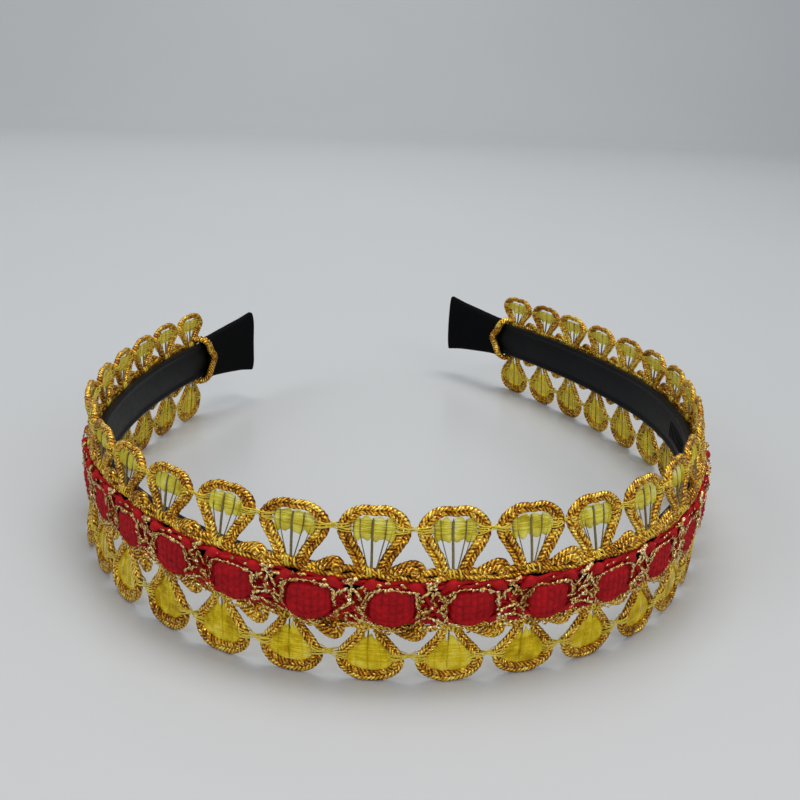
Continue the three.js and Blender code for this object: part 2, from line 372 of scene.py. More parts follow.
# The warp threads' dark olive brown is partly their own colour and partly painted shade of the valleys
# between the yellow bundles where they lie.
warp_gold = soft_thread("warp_thread", (0.07, 0.048, 0.010), (0.26, 0.19, 0.06), 0.5, 1400, 0.02)
yellow = soft_thread("yellow_thread", (0.52, 0.36, 0.006), (0.88, 0.72, 0.08), 0.36, 1400, 0.03)
red_cord = soft_thread("red_cord", (0.20, 0.002, 0.004), (0.52, 0.006, 0.009), 0.65, 1300, 0.04, 0.15)
red_weave = basket("red_weave", (0.13, 0.001, 0.003), (0.50, 0.005, 0.010))
# The pale colour of both bundles is painted light that comes through the threads. The upper cells are
# painted paler towards their far edge.
cell_pale = thread_bundle(
    "yellow_cell_pale", (0.50, 0.37, 0.008), (0.84, 0.76, 0.07), (0.92, 0.94, 0.46), 0.07)
cell_deep = thread_bundle(
    "yellow_cell_deep", (0.46, 0.27, 0.002), (0.88, 0.66, 0.010), (0.96, 0.86, 0.18))
black_plastic = plastic()
black_cloth = cloth()


# Mesh building

END_TAPER = 0.25  # size of a cord's last ring, as a share of its full size


class Gather:
    """Collects tubes and patches drawn in flat mm and makes one bent mesh of them."""

    def __init__(self):
        self.points = []
        self.quads = []
        self.uvs = []
        self.count = 0

    def grid(self, points, uv, closed):
        """points is rows x columns x 3. closed joins the last column to the first."""
        rows, cols = points.shape[:2]
        index = np.arange(rows * cols).reshape(rows, cols) + self.count
        after = np.roll(index, -1, 1) if closed else index[:, 1:]
        here = index if closed else index[:, :-1]
        quads = np.stack([here[:-1], after[:-1], after[1:], here[1:]], -1).reshape(-1, 4)
        u, v = uv
        u0 = u[: here.shape[1]]
        u1 = u[1: here.shape[1] + 1]
        corners = [(u0, v[:-1]), (u1, v[:-1]), (u1, v[1:]), (u0, v[1:])]
        spread = [np.stack(np.broadcast_arrays(a[None, :], b[:, None]), -1) for a, b in corners]
        self.uvs.append(np.stack(spread, 2).reshape(-1, 2))
        self.quads.append(quads)
        self.points.append(points.reshape(-1, 3))
        self.count += rows * cols

    def tube(self, path, radius, sides=7, lobes=0, depth=0.0, turn=1.0, flat=1.0, roll=None):
        """A cord along path. lobes wind round it once per turn, in mm; flat thins one way.

        The sign of turn also tells which way the foil on the cord slants.
        """
        path = np.asarray(path, float)
        radius = np.broadcast_to(np.asarray(radius, float), (len(path),))
        step = np.linalg.norm(np.diff(path, axis=0), axis=1)
        length = np.concatenate([[0], np.cumsum(step)])
        tangent = np.gradient(path, axis=0)
        tangent /= np.linalg.norm(tangent, axis=1)[:, None] + 1e-9
        side = np.cross(tangent, [0.0, 1.0, 0.0])
        # Where the path runs outwards, the side is taken from the height instead.
        weak = np.linalg.norm(side, axis=1) < 0.2
        side[weak] = np.cross(tangent[weak], [0.0, 0.0, 1.0])
        side /= np.linalg.norm(side, axis=1)[:, None]
        across = np.cross(side, tangent)
        angle = np.arange(sides)[None, :] * TURN / sides
        spin = np.zeros(len(path)) if roll is None else roll
        reach = np.ones((len(path), sides))
        if lobes:
            reach += depth * np.cos(lobes * (angle - TURN * length[:, None] / turn))
        a = radius[:, None] * reach * np.cos(angle)
        b = radius[:, None] * reach * np.sin(angle) * flat
        c = a * np.cos(spin)[:, None] - b * np.sin(spin)[:, None]
        d = a * np.sin(spin)[:, None] + b * np.cos(spin)[:, None]
        ring = path[:, None, :] + c[..., None] * side[:, None, :] + d[..., None] * across[:, None, :]
        for end in (0, -1):
            ring[end] = path[end] + (ring[end] - path[end]) * END_TAPER
        self.grid(ring, (np.sign(turn) * np.arange(sides + 1) / sides, length), True)

    def make(self, name, material, slot, nodes=(), leans=False):
        """Makes the piece, on the root body, in place of the named solids."""
        points = bend(np.vstack(self.points), leans)
        quads = np.vstack(self.quads)
        mesh = bpy.data.meshes.new(name)
        mesh.vertices.add(len(points))
        mesh.vertices.foreach_set("co", points.ravel())
        mesh.loops.add(quads.size)
        mesh.loops.foreach_set("vertex_index", quads.ravel())
        mesh.polygons.add(len(quads))
        mesh.polygons.foreach_set("loop_start", np.arange(len(quads)) * 4)
        mesh.polygons.foreach_set("use_smooth", np.full(len(quads), True))
        mesh.update(calc_edges=True)
        layer = mesh.uv_layers.new(name="cord")
        layer.data.foreach_set("uv", np.vstack(self.uvs).ravel())
        mesh.validate()
        mesh.materials.append(material)
        piece = bpy.data.objects.new(name, mesh)
        bpy.context.scene.collection.objects.link(piece)
        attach(piece, "root")
        if nodes:
            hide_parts(*nodes)


def smooth_path(control, step):
    """Catmull-Rom curve through the control points, sampled about every step mm."""
    control = np.asarray(control, float)
    padded = np.vstack([2 * control[0] - control[1], control, 2 * control[-1] - control[-2]])
    pieces = []
    for i in range(len(control) - 1):
        p0, p1, p2, p3 = padded[i:i + 4]
        count = max(2, int(np.linalg.norm(p2 - p1) / step))
        t = (np.arange(count) / count)[:, None]
        pieces.append(0.5 * (2 * p1 + (p2 - p0) * t + (2 * p0 - 5 * p1 + 4 * p2 - p3) * t ** 2
                             + (3 * p1 - p0 - 3 * p2 + p3) * t ** 3))
    pieces.append(control[-1][None])
    return np.vstack(pieces)


def row_height(row, up):
    """Height for a distance up (row 0) or down (row 1) from the middle of the header."""
    return UPPER_HEADER_Z + up if row == 0 else LOWER_HEADER_Z - up


# Fans

# Half a fan: x from the fan's centre and distance from the header of the middle line, and half
# the width of the pair of strands.
UPPER_FAN = [
    (1.60, -0.4, 0.98),
    (1.75, 1.0, 1.00),
    (2.55, 2.9, 1.00),
    (3.80, 4.8, 1.02),
    (4.65, 6.4, 1.08),
    (4.50, 7.9, 1.04),
    (3.55, 9.1, 0.90),
    (2.20, 9.78, 0.80),
    (1.00, 9.90, 0.76),
    (0.0, 9.80, 0.75),
]
LOWER_FAN = [
    (0.95, -0.6, 0.72),
    (1.10, 0.9, 0.72),
    (1.75, 2.3, 0.74),
    (3.00, 3.8, 0.77),
    (4.10, 5.2, 0.80),
    (4.55, 6.4, 0.84),
    (4.25, 7.5, 0.90),
    (3.20, 8.5, 0.93),
    (1.65, 9.1, 0.94),
    (0.0, 9.22, 0.94),
]
CORD_N = 0.85  # how far the middle of the gold cords lies outwards of the hoop


def fan_centre(i):
    return (i - (FANS - 1) / 2) * PITCH


# For each fan of each row, at random: width, slant, lean outwards and length.
fan_wobble = rng.normal(0, 1, (2, FANS, 4))


def place_fan(points, row, i):
    """Moves a drawn fan (across, up, outward) to its place, with a small disorder of its own."""
    wide, slant, lean, long = fan_wobble[row, i]
    x = points[:, 0] * (1 + 0.014 * wide) + points[:, 1] * 0.025 * slant
    up = points[:, 1]
    if row == 0:
        up = up * min(1.005, 1 + 0.014 * long)
    out = points[:, 2] + 0.02 * lean * np.maximum(up, 0)
    return np.stack([fan_centre(i) + x, out, row_height(row, up)], 1)


# A fan is a pair of strands side by side. Their distance from the middle line and their radius
# are shares of the half width above.
STRAND_OFFSET = 0.46
STRAND_RADIUS = 0.54
PLY_TURN = 1.7  # length in mm of one turn of the two plies of a strand
PLY_DEPTH = 0.09  # relief of the plies, as a share of the radius
ARM_SWELL = 0.14  # how much thicker the strands are along the arms


def fan_cords(row):
    gather = Gather()
    half = np.array(LOWER_FAN if row else UPPER_FAN)
    loop = np.vstack([half, half[-2::-1] * [-1, 1, 1]])
    path = smooth_path(loop, 0.21)
    tangent = np.gradient(path[:, :2], axis=0)
    tangent /= np.linalg.norm(tangent, axis=1)[:, None]
    normal = np.stack([-tangent[:, 1], tangent[:, 0]], 1)
    wide = path[:, 2]
    step = np.arange(len(path))
    for i in range(FANS):
        fuller = 1 + ARM_SWELL * min(max(abs(fan_centre(i)) / 60 - 0.6, 0), 1)
        for k, sign in enumerate((-1, 1)):
            strand = path[:, :2] + normal * (sign * STRAND_OFFSET * wide)[:, None]
            out = CORD_N + sign * 0.06 + 0.06 * np.sin(step * 0.31 + i + 2 * k)
            placed = place_fan(np.column_stack([strand, out]), row, i)
            radius = STRAND_RADIUS * fuller * wide * (1 + 0.04 * np.sin(step * 0.5 + 3 * i + k))
            room = (1 + PLY_DEPTH) * radius
            placed[:, 2] = np.clip(placed[:, 2], room, TRIM_HEIGHT + 0.1 - room)
            gather.tube(placed, radius, 7, 2, PLY_DEPTH, -sign * PLY_TURN)
    return gather


fan_cords(0).make("upper_cords", gold, "gold_cord", ["upper_fan_row"], True)
fan_cords(1).make("lower_cords", gold, "gold_cord", ["lower_fan_row"], True)


# Header cords with curls

CURL = [
    # x from the midpoint between two fans, outward, distance from the header
    (-3.0, 0.95, 0.45),
    (-2.0, 1.0, 0.95),
    (-0.8, 1.1, 1.45),
    (0.5, 1.15, 1.75),
    (1.5, 1.2, 1.5),
    (1.95, 1.25, 0.8),
    (1.5, 1.35, 0.2),
    (0.7, 1.45, 0.35),
    (0.3, 1.5, 0.85),
]
CURL_FILL = [
    (-2.4, 1.25, 0.35),
    (-1.2, 1.4, 0.7),
    (0.0, 1.5, 1.0),
    (0.9, 1.6, 1.0),
    (1.2, 1.55, 0.6),
]
CURL_TURN = 1.5  # length in mm of one turn of the plies of a curl or an end cord
HEADER_DEPTH = 0.12  # relief of the plies of the header cords and curls


def header_cords(row, sides):
    """Three cords along the header, and a curl with its filling between each two fans."""
    gather = Gather()
    s = np.arange(-TRIM_HALF + 2.2, TRIM_HALF - 2.2, 0.28)
    between = 0.5 - 0.5 * np.cos(TURN * s / PITCH + np.pi)
    drift = 0.10 * np.sin(s / 23.0 + row) + 0.08 * np.sin(s / 7.1)
    belly = (1 - between) * (1 + 0.25 * np.sin(s * 0.37 + 2 * row))
    strands = [
        # distance from the header, outward, radius
        (0.62 + 0.08 * np.sin(s * 1.1), 0.0, 0.54),
        (-0.25 - 0.85 * belly + 0.08 * np.sin(s * 0.9), 0.05, 0.52),
        (0.05 - 0.45 * belly + 0.2 * np.sin(TURN * s / PITCH), 0.42, 0.45),
    ]
    for k, (up, out, radius) in enumerate(strands):
        z = row_height(row, up + drift + 0.10 * np.sin(s * 1.9 + 2 * k))
        path = np.column_stack([s, CORD_N + out + 0.12 * np.sin(s * 1.4 + k), z])
        thick = radius * (1 + 0.12 * np.sin(s * 2.3 + 1.7 * k))
        gather.tube(path, thick, sides, 2, HEADER_DEPTH, PLY_TURN if k % 2 else -PLY_TURN)
    for i in range(FANS - 1):
        middle = fan_centre(i) + PITCH / 2
        jitter = rng.normal(0, 1, 3)
        size = 1.12 + 0.22 * np.clip(jitter[2], -1.3, 1.7) + 0.1 * row
        for control, radius in ((CURL, 0.5), (CURL_FILL, 0.55)):
            curl = smooth_path(control, 0.25)
            x = curl[:, 0] * (1 + 0.08 * jitter[0]) + 0.3 * jitter[1]
            z = row_height(row, curl[:, 2] * size)
            path = np.column_stack([middle + x, curl[:, 1], z])
            gather.tube(path, radius, 7, 2, HEADER_DEPTH, CURL_TURN)
    return gather


header_cords(0, 8).make("upper_header", gold_header, "gold_cord", ["upper_fan_row"], True)
header_cords(1, 6).make("lower_header", gold_header, "gold_cord", ["lower_fan_row"], True)


# Warp threads inside each fan

WARPS = [
    # x at the base, x at the web, x at the web's far edge, radius
    (-0.75, -3.0, -3.3, 0.08),
    (-0.50, -2.22, -2.35, 0.09),
    (-0.15, -0.38, -0.35, 0.22),
    (0.35, 1.66, 1.72, 0.11),
    (0.80, 2.7, 3.0, 0.08),
]
WARP_REACH = [
    # distance from the header at the web and at its far edge
    (6.4, 8.7),
    (5.4, 8.4),
]


def warp_threads(row):
    """Threads that spread from the foot of each fan. In the lower row they are thinner and lie
    further back, behind the yellow threads.
    """
    gather = Gather()
    web, far = WARP_REACH[row]
    for i in range(FANS):
        for base, at_web, top, radius in WARPS:
            control = [
                (base, 0.2, CORD_N),
                (0.62 * at_web + 0.3 * base, 0.58 * web, CORD_N + 0.05),
                (at_web, web, CORD_N),
                (top, far, CORD_N - 0.1),
            ]
            path = smooth_path(control, 0.55)
            path[:, 0] += rng.normal(0, 0.10)
            path[:, 2] -= 0.45 * row
            gather.tube(place_fan(path, row, i), radius * (1 - 0.4 * row), 5)
    return gather


warp_threads(0).make("upper_warps", warp_gold, "gold_cord", ["upper_fan_row"], True)
warp_threads(1).make("lower_warps", warp_gold, "gold_cord", ["lower_fan_row"], True)


# Yellow threads woven across the fans

CELLS = [
    # middle and half width of each bundle of threads between two warps
    [(-2.75, 0.52), (-1.35, 0.92), (0.66, 1.04), (2.62, 0.94)],
    [(-3.4, 1.0), (-1.55, 1.0), (0.55, 1.1), (2.6, 1.2)],
]
FILLS = [
    # near and far edge from the header, first and last share of the fan's half width, dip of
    # the near and of the far edge between two bundles, bulge
    (4.95, 8.85, -0.79, 0.88, 0.7, 0.8, 0.75),
    (2.3, 8.9, -1, 1, 1.1, 0.5, 0.5),
]
FILL_HALF = 4.1  # the sheet reaches no further than this from the middle of a fan
FILL_ROWS = 13
FILL_COLUMNS = 33


def yellow_fill(row):
    """The sheet of level threads inside each fan, bulging between the warps."""
    gather = Gather()
    middle_line = np.array(LOWER_FAN if row else UPPER_FAN)
    near, far, first, last, near_dip, far_dip, bulge = FILLS[row]
    v = np.linspace(0, 1, FILL_ROWS)[:, None]
    u = np.linspace(first, last, FILL_COLUMNS)[None, :]
    edge = FILL_HALF * u
    swell = np.zeros_like(u)
    for middle, wide in CELLS[row]:
        swell = swell + np.clip(1 - ((edge - middle) / wide) ** 2, 0, 1) ** 0.5
    rising = middle_line[:, 1].argmax() + 1
    uv = (np.arange(FILL_COLUMNS, dtype=float), (v * (far - near)).ravel())
    for i in range(FANS):
        jitter = rng.normal(0, 1, 3)
        ragged = 0.16 * np.sin(edge * 2.1 + 3 * jitter[0]) + 0.12 * np.sin(edge * 4.7 + 5 * jitter[1])
        low = near + near_dip * (1 - swell) + ragged * (1 + row)
        high = far - far_dip * (1 - swell) - 0.35 * (edge / FILL_HALF) ** 2 + ragged * 0.5
        up = low + (high - low) * v
        reach = np.interp(up, middle_line[:rising, 1], middle_line[:rising, 0])
        x = u * np.minimum(reach, FILL_HALF)
        out = CORD_N - 0.4 + bulge * swell * (1 - np.abs(2 * v - 1) ** 3) ** 0.5
        flat = place_fan(np.stack([x.ravel(), up.ravel(), out.ravel()], 1), row, i)
        gather.grid(flat.reshape(FILL_ROWS, FILL_COLUMNS, 3), uv, False)
    return gather


WEB_LEVEL = [25.8, 4.5]  # height of the middle of each web
WEB_CELL_HALF = [1.2, 1.8]  # half the height of each web inside a fan
WEFT_RADIUS = 0.10
WEFT_BACK = 4  # number of threads on the inner side of a web


def web_shape(local, cell_half):
    """Half height and outward bulge of the web at each place across one fan."""
    knots = np.array([
        # distance from the fan's centre, half height, bulge
        (0.0, cell_half, 0.0),
        (2.9, cell_half, 0.0),
        (3.7, 0.80, 0.58),
        (4.6, 0.60, 0.70),
        (5.4, 0.42, 0.55),
        (5.9, 0.30, 0.20),
        (6.25, 0.26, 0.10),
    ])
    reach = np.abs(local)
    return np.interp(reach, knots[:, 0], knots[:, 1]), np.interp(reach, knots[:, 0], knots[:, 2])


def yellow_weft(row, front_count):
    """Level threads through the fans and across the gaps, with small loops at each header."""
    gather = Gather()
    s = np.arange(-TRIM_HALF + 1.2, TRIM_HALF - 1.2, 0.42)
    local = (s + TRIM_HALF) % PITCH - PITCH / 2
    half, bulge = web_shape(local, WEB_CELL_HALF[row])
    inside = np.clip((3.7 - np.abs(local)) / 0.8, 0, 1)
    for side, count in ((1, front_count), (-1, WEFT_BACK)):
        for j in range(count):
            place = (j + 0.5) / count * 2 - 1
            stray = 0.10 * np.sin(s * 0.9 + j * 2.1 + side) + 0.05 * np.sin(s * 2.3 + j)
            z = WEB_LEVEL[row] + place * half + stray
            out = CORD_N + side * bulge * (1 + 0.08 * np.sin(s * 1.7 + j)) - 0.45 * inside
            gather.tube(np.column_stack([s, out, z]), WEFT_RADIUS, 4)
    turn = np.linspace(0, TURN, 10)
    for i in range(FANS):
        for k in range(3):
            x = fan_centre(i) - 0.9 + 0.8 * k + rng.normal(0, 0.15)
            z = row_height(row, 0.35 + 0.85 * np.cos(turn))
            out = CORD_N + 0.1 + 0.75 * np.sin(turn)
            gather.tube(np.column_stack([x + 0.35 * np.sin(turn * 0.5), out, z]), 0.16, 5)
    return gather


yellow_weft(0, 5).make("upper_weft", yellow, "yellow_thread", ["upper_web"], True)
yellow_weft(1, 6).make("lower_weft", yellow, "yellow_thread", ["lower_web"], True)
yellow_fill(0).make("upper_fill", cell_pale, "yellow_thread", ["upper_web"], True)
yellow_fill(1).make("lower_fill", cell_deep, "yellow_thread", ["lower_web"], True)


# Red woven blocks

BLOCK_HALF_WIDE = 3.85
BLOCK_TOP = 16.5
BLOCK_SIDE_LOW = 11.4
BLOCK_SAG = 1.6
BLOCK_COLUMNS = 37
BLOCK_ROWS = 27
RIB = 1.05  # pitch of the weave along a block, in mm
RIB_ROW = 1.3  # pitch of the weave up a block


def block_list():
    """Middle and half width of every block, with a little disorder."""
    first = (fan_centre(0) + BLOCK_SHIFT - 8.0, 1.9)
    last = (fan_centre(FANS - 1) + 1.5, 3.2)
    blocks = [(fan_centre(i) + BLOCK_SHIFT + rng.normal(0, 0.22), BLOCK_HALF_WIDE)
              for i in range(FANS - 1)]
    return [first] + blocks + [last]


BLOCKS = block_list()


def red_blocks():
    gather = Gather()
    u = np.linspace(-1, 1, BLOCK_COLUMNS)[None, :]
    v = np.linspace(-1, 1, BLOCK_ROWS)[:, None]
    dome = (1 - np.abs(u) ** 6) * (1 - np.abs(v) ** 6)
    uv = (np.arange(BLOCK_COLUMNS, dtype=float), np.arange(BLOCK_ROWS, dtype=float))
    for k, (centre, half_wide) in enumerate(BLOCKS):
        wide = half_wide * (1 + rng.normal(0, 0.03))
        shear = 0.04 + rng.normal(0, 0.03)
        top = BLOCK_TOP + rng.normal(0, 0.15) - 0.55 * u ** 6
        low = BLOCK_SIDE_LOW - BLOCK_SAG * (1 - u ** 2) + rng.normal(0, 0.15) + 0.35 * u ** 6
        x = wide * u * (1 - 0.10 * v ** 4)
        z = low + (top - low) * (v + 1) / 2 + shear * x
        rib = np.cos(TURN * x / RIB + 0.4 * k)
        step = np.floor(x / RIB + 0.5) % 2
        weave = 0.07 * rib + 0.12 * np.cos(TURN * z / RIB_ROW + np.pi * step) * (0.6 + 0.4 * rib)
        crease = 0.25 * np.exp(-((z - low - 1.6 - 0.25 * np.sin(x)) / 0.22) ** 2)
        uneven = 0.12 * np.sin(x * 0.8 + k) * np.cos(z * 1.1 + 2 * k)
        out = 0.95 + 1.7 * dome ** 0.55 + (weave + uneven - crease) * dome ** 0.5
        gather.grid(np.stack([centre + x, out, z], -1), uv, False)
    return gather


red_blocks().make("red_blocks", red_weave, "red_braid", ["centre_braid"])


# Red strands that cross between the blocks, with a rounded nub above each block corner

def crossings():
    """Middle of the gap between each two blocks, the short first block left out."""
    return [(BLOCKS[i][0] + BLOCKS[i][1] + BLOCKS[i + 1][0] - BLOCKS[i + 1][1]) / 2
            for i in range(1, len(BLOCKS) - 1)]


RED_STRAND = [
    # x, height, outward, radius
    (-5.6, 17.25, 1.4, 0.26),
    (-4.4, 17.2, 1.6, 0.32),
    (-3.6, 17.25, 1.9, 0.56),
    (-2.85, 17.25, 2.15, 0.86),
    (-2.0, 16.8, 2.1, 0.70),
    (-1.3, 16.0, 1.9, 0.50),
    (-0.6, 14.9, 1.8, 0.46),
    (0.2, 13.7, 1.8, 0.46),
    (1.0, 12.5, 1.8, 0.52),
    (1.9, 11.6, 1.8, 0.62),
    (2.9, 11.1, 1.8, 0.62),
    (3.9, 11.0, 1.6, 0.45),
    (4.7, 11.3, 1.3, 0.3),
]
SHEET_LOW = 10.7
SHEET_HIGH = 17.1


def red_strands():
    gather = Gather()
    path = smooth_path(RED_STRAND, 0.3)
    for centre in crossings():
        for side in (1, -1):
            jitter = rng.normal(0, 0.14, 3)
            x = side * path[:, 0] + jitter[0]
            out = path[:, 2] + side * 0.25 * np.exp(-path[:, 0] ** 2) + jitter[1] * 0.4
            z = path[:, 1] + jitter[2]
            radius = path[:, 3] * (1 + 0.10 * np.sin(path[:, 0] * 3 + centre))
            gather.tube(np.column_stack([centre + x, out, z]), radius, 9, 3, 0.05, 2.4, 0.85)
        # Level strands low between two blocks
        across = np.linspace(-2.7, 2.7, 12)
        for k in range(5):
            sway = 0.22 * np.sin(across * 1.4 + 1.7 * k + centre)
            z = 11.1 + 0.62 * k + sway + rng.normal(0, 0.08)
            out = 1.6 + 0.12 * np.cos(across) - 0.04 * k
            gather.tube(np.column_stack([centre + across, out, z]), 0.36, 6)
    # Two strands along the top. Near the middle of each fan the second dips to the first, which
    # leaves a small dark hole above them.
    s = np.arange(-TRIM_HALF + 1.5, TRIM_HALF - 1.5, 0.4)
    local = (s + TRIM_HALF) % PITCH - PITCH / 2
    hole = np.exp(-((local - 0.4) / 0.75) ** 2)
    for k in range(2):
        z = 17.15 + 0.16 * np.sin(s * 1.3 + 3.1 * k) + 0.4 * k - 0.55 * k * hole
        out = 1.75 - 0.25 * k + 0.18 * np.cos(s * 1.3 + 3.1 * k)
        gather.tube(np.column_stack([s, out, z]), 0.34 - 0.1 * hole, 6)
    # Ribbon behind them, notched at the crossings
    notch = sum(np.exp(-(s - centre - 0.1) ** 2) for centre in crossings())
    rows = np.linspace(0, 1, 9)[:, None]
    z = SHEET_LOW + rows * (SHEET_HIGH - SHEET_LOW - 2.3 * notch)
    out = 1.45 + 0.12 * np.sin(z * 5.2 + s * 0.8) + 0.08 * np.sin(s * 2.7) - 0.3 * (rows < 0.1)
    sheet = np.stack(np.broadcast_arrays(s, out, z), -1)
    gather.grid(sheet.transpose(1, 0, 2), (np.arange(len(rows), dtype=float), s), False)
    return gather


red_strands().make("red_strands", red_cord, "red_braid", ["centre_braid"])


# Tinsel

FLATTER = np.array([1, 0.3, 1])  # random moves are smaller outwards


def foil(gather, control, width, step=0.32, stray=0.05):
    """A flat strip of foil that faces outward and turns a little about its length."""
    path = smooth_path(control, step)
    path = path + rng.normal(0, stray, path.shape)
    roll = np.cumsum(rng.normal(0, 0.15, len(path)))
    gather.tube(path, width, 4, flat=0.25, roll=roll)


def beaded(gather, control, radius):
    """Crinkled tinsel that reads as a line of small bright beads."""
    path = smooth_path(control, 0.24)
    path = path + rng.normal(0, 0.07, path.shape)
    beads = np.sin(np.arange(len(path)) * 2.1 + rng.uniform(0, 6))
    swell = 1 + 0.55 * beads + rng.normal(0, 0.22, len(path))
    roll = np.cumsum(rng.normal(0, 0.9, len(path)))
    gather.tube(path, radius * np.clip(swell, 0.35, 1.8), 5, flat=0.65, roll=roll)


def beside(table, x):
    """The table's points moved along by x."""
    return np.array(table) + [x, 0, 0]


def shaken(control, amount):
    """The same points, each moved a little at random."""
    return np.array(control) + rng.normal(0, amount, (len(control), 3)) * FLATTER


def dashes(gather, control, count, width):
    """Short glints of foil along a line, each turned its own way."""
    path = smooth_path(control, 0.1)
    places = (np.arange(count) + rng.uniform(0.2, 0.8, count)) / count * (len(path) - 9)
    for place in places.astype(int):
        piece = path[[place, place + 4, place + 8]] + rng.normal(0, 0.1, 3)
        piece += np.outer([-1, 0, 1], rng.normal(0, 0.16, 3) * [1, 0.4, 1])
        foil(gather, piece + [0, 0.1, 0], width * rng.uniform(0.7, 1.35), 0.2, 0.03)


def loose_foil(gather, middle, width):
    """A short strip that slants its own way and stands out in the middle."""
    slant = rng.normal(0, 0.4, 3) * FLATTER
    foil(gather, [middle - slant, middle + [0, 0.12, 0], middle + slant], width, 0.2)


TOP_FRAME = [
    # share of the block's half width, x beyond that, outward, height
    (-1, -0.35, 2.1, 13.0),
    (-1, -0.2, 2.4, 14.6),
    (-1, 0.1, 2.6, 16.0),
    (-0.55, 0, 2.7, 16.75),
    (0, 0, 2.7, 16.85),
    (0.55, 0, 2.7, 16.8),
    (1, -0.1, 2.6, 16.2),
    (1, 0.2, 2.4, 14.6),
    (1, 0.35, 2.1, 13.0),
]
LOW_FRAME = [
    (-1, -0.9, 1.8, 12.6),
    (-1, 0.1, 2.2, 11.3),
    (-0.5, 0, 2.35, 10.1),
    (0, 0, 2.4, 9.65),
    (0.5, 0, 2.35, 10.0),
    (1, -0.1, 2.2, 11.2),
    (1, 0.9, 1.8, 12.3),
]
CROSSING_FOILS = [
    # points (x from the crossing, outward, height), width
    ([(-1.75, 2.3, 15.2), (-1.2, 2.6, 16.2), (-0.35, 2.6, 16.75)], 0.28),
    ([(0.8, 2.3, 13.6), (1.5, 2.5, 12.9), (2.0, 2.4, 12.2)], 0.3),
    ([(-2.6, 2.4, 16.2), (-2.4, 2.6, 15.2), (-2.5, 2.4, 14.0)], 0.24),
    ([(2.3, 2.4, 14.6), (2.9, 2.6, 15.6), (3.5, 2.5, 16.3)], 0.24),
]
KNOT_LOW = [
    (-2.4, 2.3, 11.9),
    (-1.7, 2.5, 12.9),
    (-0.6, 2.5, 13.5),
    (0.4, 2.5, 14.1),
    (-0.4, 2.5, 14.9),
]
KNOT_TOP = [
    (-1.1, 2.1, 17.6),
    (-0.1, 2.4, 18.0),
    (1.0, 2.3, 18.4),
    (0.2, 2.5, 17.8),
    (-0.6, 2.5, 17.3),
    (0.5, 2.5, 17.0),
]
CROSSING_BEADS = [
    # points as above, disorder, radius
    (KNOT_LOW, 0.15, 0.3),
    (KNOT_TOP, 0.15, 0.3),
    ([(-2.6, 2.1, 11.2), (-0.9, 2.4, 12.2), (0.8, 2.4, 11.7), (2.4, 2.1, 10.9)], 0.18, 0.24),
    ([(-1.3, 1.8, 10.0), (0, 2.1, 10.6), (1.3, 1.8, 10.1)], 0.15, 0.28),
    ([(0.5, 2.3, 13.2), (1.6, 2.5, 13.8), (2.3, 2.4, 12.9)], 0.15, 0.22),
]
FRAME_RADIUS = 0.11


def frame_line(table, centre, half):
    return [(centre + share * half + x, out, z) for share, x, out, z in table]


def tinsel():
    gather = Gather()
    for centre, half in BLOCKS:
        top = shaken(frame_line(TOP_FRAME, centre, half), 0.14)
        beaded(gather, top, FRAME_RADIUS)
        dashes(gather, top, 11, 0.27)
        dashes(gather, top[2:-2] + [0, -0.45, 0.75], 3, 0.24)
        low = shaken(frame_line(LOW_FRAME, centre, half), 0.16)
        beaded(gather, low, FRAME_RADIUS)
        dashes(gather, low, 8, 0.28)
        for side in (-1, 1):
            for k in range(5):
                middle = np.array([centre + side * (half + 0.45), 2.35, 11.6 + 1.05 * k])
                middle += rng.normal(0, 0.3, 3) * FLATTER
                loose_foil(gather, middle, 0.2)
    for crossing in crossings():
        for k in range(9):
            middle = np.array([crossing, 2.45, 14.3]) + rng.uniform(-1, 1, 3) * [2.3, 0.2, 2.9]
            loose_foil(gather, middle, 0.28)
        c = crossing + rng.normal(0, 0.2)
        tent = rng.normal(0, 0.15)
        peak = (c + 0.55 + tent, 2.6, 16.9)
        foil(gather, [(c - 0.3, 2.3, 14.9), (c + 0.05, 2.6, 15.9), peak], 0.24)
        foil(gather, [peak, (c + 1.1, 2.6, 15.9), (c + 1.75 + tent, 2.4, 14.7)], 0.30)
        for points, width in CROSSING_FOILS:
            foil(gather, beside(points, c), width)
        for points, disorder, radius in CROSSING_BEADS:
            beaded(gather, shaken(beside(points, c), disorder), radius)
    return gather


tinsel().make("tinsel", tinsel_foil, "tinsel", ["centre_braid"])


# Hoop strip

HOOP_MIDDLE = (HOOP_BOTTOM + HOOP_TOP) / 2
FRONT_DROP = 0.6  # the top edge of the strip hides behind the header at the front


